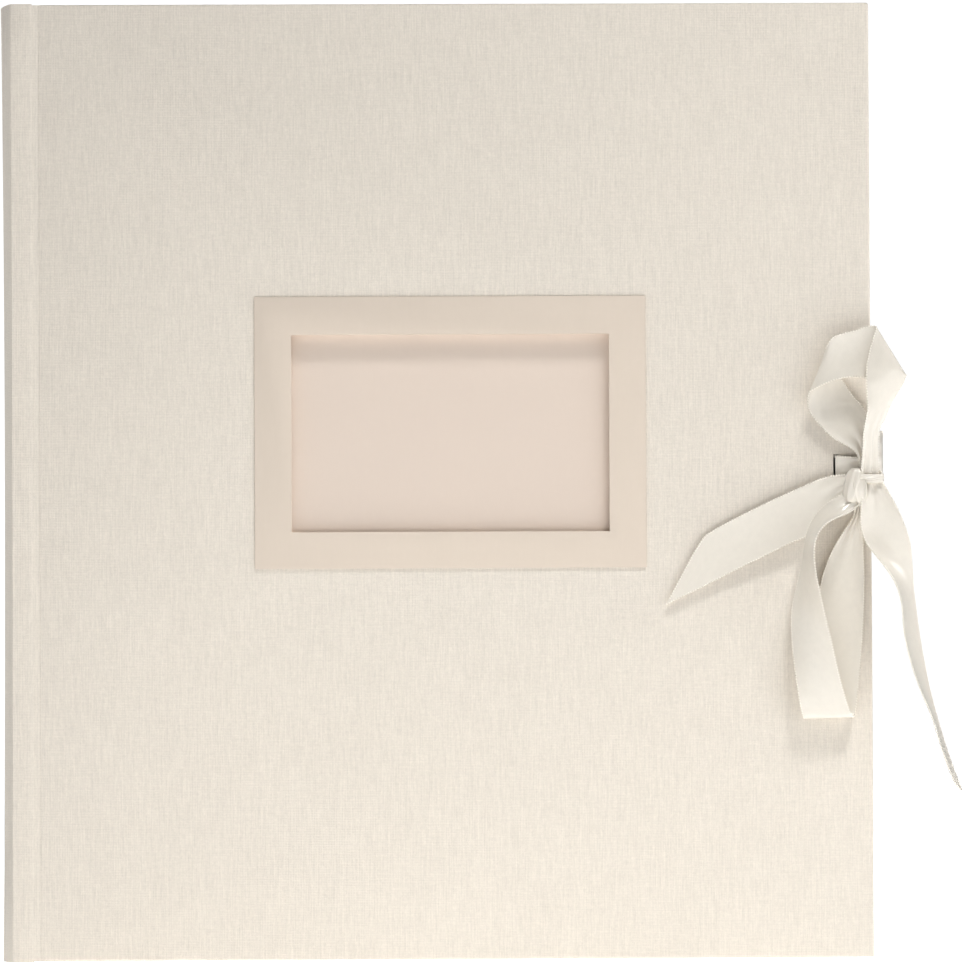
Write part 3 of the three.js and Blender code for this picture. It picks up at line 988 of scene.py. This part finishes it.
# ---------------------------------------------------------------------------
# case: covers, window, spine
# ---------------------------------------------------------------------------
@dataclass
class Cover:
    """One cover: the cloth with its turn-ins, the joint cloth, the pastedown and the board."""

    side: Side
    finishes: Finishes
    edge_round: float = 0.75 * MM
    joint_depth: float = 0.22 * MM

    def build(self) -> None:
        """Make the cover's pieces."""
        self.cloth()
        self.joint()
        self.pastedown()
        dress(f"{self.side.word}_board", self.finishes.board)
        dress(f"{self.side.word}_ribbon_anchor", self.finishes.satin)

    def cloth(self) -> None:
        """Make the cloth: a skin with soft edges round the board."""
        word = self.side.word
        node = Box.of(f"{word}_cover_cloth")
        board = Box.of(f"{word}_board")
        anchor = Box.of(f"{word}_ribbon_anchor")
        low = node.low.copy()
        low.x = board.low.x - 0.6 * MM
        piece = box_object(f"{word}_case_cloth", Box(low, node.high), self.finishes.linen)
        soften(piece, self.edge_round)
        settle(piece)
        turn_in = 15 * MM
        inner_y = node.high.y if self.side is Side.FRONT else node.low.y
        open_low = Vector((low.x - MM, inner_y - 0.7 * MM, low.z + turn_in))
        open_high = Vector((node.high.x - turn_in, inner_y + 0.7 * MM, node.high.z - turn_in))
        slot = Box(
            Vector((anchor.high.x - 1.0 * MM, node.low.y - MM, anchor.low.z - MM)),
            Vector((anchor.high.x + 0.6 * MM, node.high.y + MM, anchor.high.z + MM)),
        )
        cuts = [board.grown(0.2 * MM, 0.2 * MM, 0.2 * MM), Box(open_low, open_high), slot]
        if self.side is Side.FRONT:
            card = Box.of("passepartout_frame")
            margin = (card.high.x - card.low.x - PictureWindow.opening[0]) / 2 - 0.3 * MM
            tall = (card.high.z - card.low.z - PictureWindow.opening[1]) / 2 - 0.3 * MM
            window = card.grown(-margin, 0, -tall)
            window.low.y, window.high.y = node.low.y - MM, board.low.y + 0.5 * MM
            cuts.append(window)
        carve(piece, *cuts)
        settle(piece, 35.0)
        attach(piece, self.side.body)
        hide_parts(f"{word}_cover_cloth")
        report(piece, self.side.body)

    def joint(self) -> None:
        """Make the strip of cloth between the spine and the cover, with a shallow dip."""
        word, sign = self.side.word, self.side.sign
        cloth = Box.of(f"{word}_cover_cloth")
        board = Box.of(f"{word}_board")
        spine = Box.of("spine_cloth")
        face = cloth.low.y if self.side is Side.FRONT else cloth.high.y
        start, end = spine.high.x - 0.9 * MM, board.low.x + 0.9 * MM
        steps = 14
        outer = []
        for i in range(steps + 1):
            t = i / steps
            dip = self.joint_depth * (0.75 + 0.25 * math.sin(math.pi * t))
            outer.append((start + (end - start) * t, face - sign * dip))
        inner = [(x, y - sign * 0.35 * MM) for x, y in reversed(outer)]
        piece = sweep_profile(
            f"{word}_joint_cloth", outer + inner, cloth.low.z + 0.1 * MM,
            cloth.high.z - 0.1 * MM, self.finishes.linen,
        )
        settle(piece, 40.0)
        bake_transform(piece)
        report(piece, f"{BLOCK} and {self.side.body}")

    def pastedown(self) -> None:
        """Make the endpaper pasted inside the cover."""
        name = f"{self.side.word}_pastedown"
        piece = box_object(f"{name}_sheet", Box.of(name), self.finishes.endpaper)
        soften(piece, 0.08 * MM, 1)
        settle(piece, 30.0)
        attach(piece, self.side.body)
        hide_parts(name)
        report(piece, self.side.body)


@dataclass
class PictureWindow:
    """The recess in the front cover, with the card frame on the cloth round it."""

    finishes: Finishes
    opening: tuple[float, float] = (106.4 * MM, 66.1 * MM)

    def build(self) -> None:
        """Make the frame, the lining of the recess and the card at its back."""
        self.frame()
        self.lining()
        dress("window_backing_card", self.finishes.backing)

    def hole(self) -> Box:
        """The see-through opening of the frame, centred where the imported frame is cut."""
        backing = Box.of("window_backing_card")
        card = Box.of("passepartout_frame")
        half = Vector((self.opening[0] / 2, 0, self.opening[1] / 2))
        low, high = backing.middle - half, backing.middle + half
        low.y, high.y = card.low.y, backing.low.y
        return Box(low, high)

    def frame(self) -> None:
        """Make the thin card frame, with pressed edges."""
        card = Box.of("passepartout_frame")
        piece = box_object("window_frame", card, self.finishes.frame_card)
        carve(piece, self.hole().grown(0, 2 * MM, 0))
        soften(piece, 0.14 * MM, 2)
        settle(piece, 30.0)
        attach(piece, Side.FRONT.body)
        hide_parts("passepartout_frame")
        report(piece, Side.FRONT.body)

    def lining(self) -> None:
        """Make the card strips that line the cut edge of the board."""
        hole, board = self.hole(), Box.of("front_board")
        outer = Box(hole.low.copy(), hole.high.copy()).grown(0.42 * MM, 0, 0.42 * MM)
        outer.low.y, outer.high.y = board.low.y - 0.45 * MM, hole.high.y - 0.05 * MM
        piece = box_object("window_lining", outer, self.finishes.frame_card)
        carve(piece, hole.grown(0.12 * MM, 2 * MM, 0.12 * MM))
        settle(piece, 30.0)
        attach(piece, Side.FRONT.body)
        report(piece, Side.FRONT.body)


@dataclass
class Spine:
    """The rounded spine: cloth with soft shoulders, board, joint strips."""

    finishes: Finishes
    bulge: float = 2.9 * MM
    proud: float = 0.7 * MM
    bow: float = 0.9 * MM
    shoulder: float = 0.6 * MM
    cloth: float = 0.4 * MM

    def build(self) -> None:
        """Make the cloth and dress the boards under it."""
        self.cover_cloth()
        for node in ("spine_board", "front_joint_strip", "back_joint_strip"):
            dress(node, self.finishes.board)

    def outline(self, box: Box, inset: float) -> list[Pair]:
        """The spine's section from the front joint round the crown to the back joint.

        Args:
            box: box of the spine's cloth.
            inset: distance inwards from the cloth's outer face.
        Returns:
            Points across and deep, in metres.
        """
        half = box.high.y - inset
        crown = box.low.x + inset - self.proud
        r = self.shoulder
        curve_half = half - r
        points = []
        for i in range(21):
            y = -curve_half + 2 * curve_half * i / 20
            points.append((crown + self.bulge * (y / curve_half) ** 2, y))
        corner_x = points[0][0]
        front = []
        for i in range(1, 7):
            angle = math.pi / 2 * i / 6
            front.append((corner_x + r * (1 - math.cos(angle)), -curve_half - r * math.sin(angle)))
        end = box.high.x
        drop = 0.24 * MM
        lip = [
            (end - 1.6 * MM, -half), (end - 0.9 * MM, -half + 0.04 * MM),
            (end - 0.4 * MM, -half + 0.12 * MM), (end, -half + drop),
        ]
        side = list(reversed(front + lip))
        mirrored = [(x, -y) for x, y in reversed(side)]
        return side + points + mirrored

    def cover_cloth(self) -> None:
        """Make the spine's cloth with its folded ends at the head and the foot."""
        box = Box.of("spine_cloth")
        outer = self.outline(box, 0.0)
        inner = self.outline(box, self.cloth)
        count = len(outer)
        rounding = [(0.0, 0.25 * MM), (0.12 * MM, 0.08 * MM), (0.35 * MM, 0.0)]
        tall = box.high.z - box.low.z
        levels = [(box.low.z + rise, pull) for rise, pull in rounding]
        levels += [(box.low.z + tall * i / 16, 0.0) for i in range(1, 16)]
        levels += [(box.high.z - rise, pull) for rise, pull in reversed(rounding)]
        points, faces = [], []
        for z, pull in levels:
            flare = self.bow * ((2 * (z - box.low.z) / tall - 1) ** 2)
            for (ox, oy), (ix, iy) in zip(outer, inner):
                f = pull / self.cloth
                near = max(0.0, 1 - (ox - outer[len(outer) // 2][0]) / (4 * MM))
                points.append((ox + (ix - ox) * f - flare * near, oy + (iy - oy) * f, z))
        top = len(points)
        for z in (box.low.z, box.high.z):
            points += [(x, y, z) for x, y in inner]
        rows = len(levels)
        for r in range(rows - 1):
            for i in range(count - 1):
                a = r * count + i
                faces.append((a, a + 1, a + 1 + count, a + count))
        for i in range(count - 1):
            faces.append((i, top + i, top + i + 1, i + 1))
            last = (rows - 1) * count + i
            faces.append((last, last + 1, top + count + i + 1, top + count + i))
            faces.append((top + i, top + count + i, top + count + i + 1, top + i + 1))
        for i in (0, count - 1):
            column = [r * count + i for r in range(rows)]
            faces.append(tuple(column + [top + count + i, top + i]))
        piece = from_lists("spine_case_cloth", points, faces, self.finishes.linen)
        bm = bmesh.new()
        bm.from_mesh(piece.data)
        bmesh.ops.recalc_face_normals(bm, faces=bm.faces)
        bm.to_mesh(piece.data)
        bm.free()
        settle(piece, 40.0)
        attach(piece, BLOCK)
        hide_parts("spine_cloth")
        report(piece, BLOCK)
        self.caps(box)

    def caps(self, box: Box) -> None:
        """Make the cloth folded over the ends of the spine board."""
        board = Box.of("spine_board")
        for name, z in (("head", box.high.z - 0.45 * MM), ("foot", box.low.z)):
            profile = []
            half = board.high.y + 0.5 * MM
            for i in range(17):
                y = -half + 2 * half * i / 16
                profile.append((box.low.x - 1.2 * MM + self.bulge * (y / half) ** 2, y))
            for i in range(16, -1, -1):
                y = -half + 2 * half * i / 16
                profile.append((box.low.x + 3.4 * MM + self.bulge * (y / half) ** 2, y))
            piece = sweep_profile(
                f"spine_{name}_turn_in", profile, z, z + 0.45 * MM, self.finishes.linen
            )
            soften(piece, 0.12 * MM, 2)
            settle(piece, 35.0)
            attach(piece, BLOCK)
            report(piece, BLOCK)


def dress(node: str, material: bpy.types.Material) -> None:
    """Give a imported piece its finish.

    Args:
        node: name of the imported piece.
        material: the finish.
    """
    piece = bpy.data.objects[node]
    for slot in piece.material_slots:
        slot.material = material
    LOG.info("%s: dressed", node)


# ---------------------------------------------------------------------------
# block of leaves
# ---------------------------------------------------------------------------
@dataclass
class Block:
    """Leaves, flyleaves, guards, mull, lining and the two bands."""

    finishes: Finishes
    beads: BeadRow
    bend_start: float = 1.2 * MM
    bend_length: float = 15.0 * MM
    score: float = 3.0 * MM

    def build(self) -> None:
        """Make the whole block."""
        dress("guard_block", self.finishes.guard)
        dress("mull_gauze", self.finishes.gauze)
        dress("spine_lining", self.finishes.kraft)
        for number in range(1, LEAVES + 1):
            self.leaf(f"leaf_{number:02d}", self.finishes.leaf, "leaf_paper")
        for side in Side:
            self.leaf(f"{side.word}_flyleaf", self.finishes.endpaper, "endpaper")
        self.folds()
        self.band("headband")
        self.band("tailband")

    def leaf(self, node: str, finish: bpy.types.Material, slot: str) -> None:
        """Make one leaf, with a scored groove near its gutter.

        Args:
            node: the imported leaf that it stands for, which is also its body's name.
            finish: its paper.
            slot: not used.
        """
        box = Box.of(node)
        root = box.low.x - self.bend_start
        bend = [root + (self.bend_length + self.bend_start) * i / 14 for i in range(15)]
        across = bend + [box.high.x - 2.4 * MM, box.high.x]
        half = (box.high.y - box.low.y) / 2
        corner = 1.6 * MM
        top, bottom = [], []
        for x in across:
            groove = math.exp(-(((x - box.low.x - self.score) / (0.45 * MM)) ** 2))
            thick = half * (1 - 0.35 * groove)
            cut = max(0.0, corner - (box.high.x - x)) if x > box.high.x - corner else 0.0
            for edge, z in ((bottom, box.low.z + cut), (top, box.high.z - cut)):
                edge.append([(x, box.middle.y - thick, z), (x, box.middle.y + thick, z)])
        points, faces = [], []
        for low_pair, high_pair in zip(bottom, top):
            points += [low_pair[0], low_pair[1], high_pair[1], high_pair[0]]
        for i in range(len(across) - 1):
            for k in range(4):
                a, b = i * 4 + k, i * 4 + (k + 1) % 4
                faces.append((a, b, b + 4, a + 4))
        end = (len(across) - 1) * 4
        faces += [(3, 2, 1, 0), (end, end + 1, end + 2, end + 3)]
        piece = from_lists(f"{node}_sheet", points, faces, finish)
        bm = bmesh.new()
        bm.from_mesh(piece.data)
        bmesh.ops.recalc_face_normals(bm, faces=bm.faces)
        bm.to_mesh(piece.data)
        bm.free()
        settle(piece, 30.0)
        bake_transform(piece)
        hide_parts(node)
        report(piece, f"{BLOCK} and {node}")

    def folds(self) -> None:
        """Make the folded guards, seen as rounded ridges at the head and the foot."""
        guard = Box.of("guard_block")
        first, last = Box.of("leaf_01").middle.y, Box.of(f"leaf_{LEAVES}").middle.y
        lines = []
        for number in range(LEAVES):
            y = first + (last - first) * number / (LEAVES - 1)
            for z in (guard.low.z, guard.high.z):
                lines.append([
                    Vector((guard.low.x + 2.6 * MM, y, z)), Vector((guard.high.x, y, z)),
                ])
        ridges = self.beads.run(
            "guard_folds", lines, self.finishes.guard, 1.0 * MM, 0.3 * MM, 2.2
        )
        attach(ridges, BLOCK)
        report(ridges, BLOCK)

    def band(self, node: str) -> None:
        """Make a head or tail band: thread wound closely over a core.

        Args:
            node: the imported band.
        """
        box = Box.of(node)
        middle = box.middle
        line = [
            Vector((middle.x, y, middle.z))
            for y in (box.low.y + 0.3 * MM, box.high.y - 0.3 * MM)
        ]
        wound = self.beads.run(
            f"{node}_thread", [line], self.finishes.cotton, 0.62 * MM, 1.0 * MM, 0.34
        )
        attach(wound, BLOCK)
        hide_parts(node)
        report(wound, BLOCK)


# ---------------------------------------------------------------------------
# studio
# ---------------------------------------------------------------------------
@dataclass(frozen=True)
class Softbox:
    """One soft light."""

    name: str
    place: tuple[float, float, float]
    aim: tuple[float, float, float]
    size: tuple[float, float]
    power: float
    tint: tuple[float, float, float] = (1.0, 1.0, 1.0)
    shines: bool = True
    spread: float = 180.0

    def hang(self) -> bpy.types.Object:
        """Put the light in the scene.

        Returns:
            The light.
        """
        data = bpy.data.lights.new(self.name, "AREA")
        data.shape = "RECTANGLE"
        data.size, data.size_y = self.size
        data.energy = self.power
        data.color = self.tint
        data.spread = math.radians(self.spread)
        lamp = bpy.data.objects.new(self.name, data)
        bpy.context.scene.collection.objects.link(lamp)
        lamp.location = self.place
        way = Vector(self.aim) - Vector(self.place)
        lamp.rotation_euler = way.to_track_quat("-Z", "Y").to_euler()
        lamp.visible_camera = False
        lamp.visible_glossy = self.shines
        return lamp


@dataclass
class Studio:
    """Camera, pale floor and soft lights."""

    distance: float = 2.6
    view_width: float = 322.0 * MM
    tilt: float = 1.9
    turn: float = 1.2
    roll: float = 0.28
    lights: tuple[Softbox, ...] = (
        Softbox("overhead", (0.85, -1.3, 3.1), (0.36, 0.0, -0.10), (0.9, 0.6), 2.5, spread=30.0),
        Softbox(
            "low_front", (0.10, -0.36, 0.02), (0.11, 0.0, 0.02), (0.4, 0.06), 0.25, shines=False
        ),
        Softbox("side_sheen", (1.7, -1.0, 0.5), (0.30, 0.0, 0.14), (0.5, 0.9), 2.4),
        Softbox("rear", (0.4, 2.2, 1.9), (0.15, 0.0, 0.16), (1.8, 1.2), 22.0),
        Softbox("fore_edge", (2.2, 0.35, 0.8), (0.30, 0.0, 0.16), (0.8, 0.8), 7.0),
        Softbox("spine_side", (-1.9, 0.9, 0.7), (0.0, 0.0, 0.16), (0.8, 0.8), 4.0),
    )
    near_glow: float = 0.82
    far_glow: float = 1.05
    room_light: float = 0.04

    def build(self) -> None:
        """Set up the camera, the stage and the lights."""
        self.camera()
        self.stage()
        for light in self.lights:
            light.hang()
        self.room()
        bpy.context.scene.view_settings.view_transform = "Standard"

    def camera(self) -> None:
        """Set up a long lens square to the front cover, a little low and hardly rolled."""
        cloth, spine = Box.of("front_cover_cloth"), Box.of("spine_cloth")
        target = Vector((
            spine.low.x + 159.2 * MM, cloth.low.y, (cloth.low.z + cloth.high.z) / 2 - 0.2 * MM,
        ))
        tilt, turn = math.radians(self.tilt), math.radians(self.turn)
        ahead = Vector((
            math.sin(turn) * math.cos(tilt), math.cos(turn) * math.cos(tilt), math.sin(tilt),
        ))
        place = target - self.distance * ahead
        data = bpy.data.cameras.new("camera")
        data.sensor_width = 36.0
        data.lens = data.sensor_width * self.distance / self.view_width
        data.clip_end = 20.0
        eye = bpy.data.objects.new("camera", data)
        bpy.context.scene.collection.objects.link(eye)
        eye.location = place
        aim = Euler((math.radians(90) + tilt, 0.0, -turn)).to_quaternion()
        spin = Euler((0.0, 0.0, math.radians(-self.roll))).to_quaternion()
        eye.rotation_euler = (aim @ spin).to_euler()
        bpy.context.scene.camera = eye

    def room(self) -> None:
        """Make the room white to look at, and dim as a light."""
        world = bpy.context.scene.world or bpy.data.worlds.new("studio")
        bpy.context.scene.world = world
        world.use_nodes = True
        tree = world.node_tree
        sky = tree.nodes.get("Background")
        sky.inputs["Color"].default_value = (1.0, 1.0, 1.0, 1.0)
        path = tree.nodes.new("ShaderNodeLightPath")
        level = tree.nodes.new("ShaderNodeMapRange")
        tree.links.new(path.outputs["Is Camera Ray"], level.inputs["Value"])
        level.inputs["To Min"].default_value = self.room_light
        level.inputs["To Max"].default_value = self.far_glow
        tree.links.new(level.outputs["Result"], sky.inputs["Strength"])

    def stage(self) -> None:
        """Make the floor: a wide near-white disc that glows behind and far from the album."""
        s = Shader("studio_floor")
        cloud = s.noise(s.place((1, 1, 1)), 3.0, 2.0)
        colour = s.ramp(cloud, [(0.3, (0.79, 0.79, 0.785, 1)), (0.7, (0.81, 0.81, 0.805, 1))])
        parts = s.node("ShaderNodeSeparateXYZ", {0: s.place((1, 1, 1))})
        behind = s.math("MULTIPLY", parts.outputs[1], 12.0, True)
        reach = s.node("ShaderNodeVectorMath", {0: s.place((1, 1, 1))}, operation="LENGTH")
        away = s.math("MULTIPLY", s.math("SUBTRACT", reach.outputs["Value"], 0.6), 1.2, True)
        rise = s.math("MAXIMUM", behind, away)
        glow = s.math("MULTIPLY_ADD", rise, self.far_glow - self.near_glow)
        glow.node.inputs[2].default_value = self.near_glow
        s.set(Base_Color=colour, Roughness=0.9)
        s.set(Emission_Color=(1.0, 1.0, 1.0, 1.0), Emission_Strength=glow)
        bm = bmesh.new()
        bmesh.ops.create_circle(bm, cap_ends=True, segments=96, radius=40.0)
        mesh = bpy.data.meshes.new("studio_floor")
        bm.to_mesh(mesh)
        bm.free()
        new_object("studio_floor", mesh, s.material)


def main() -> None:
    """Build the album, piece by piece, and its studio."""
    logging.basicConfig(level=logging.INFO, format="%(name)s %(message)s")
    Studio().build()
    finishes = Finishes()
    beads = BeadRow()
    for side in Side:
        Cover(side, finishes).build()
    PictureWindow(finishes).build()
    Spine(finishes).build()
    Block(finishes, beads).build()
    Bow(finishes, beads).build()


if __name__ == "__main__":
    main()
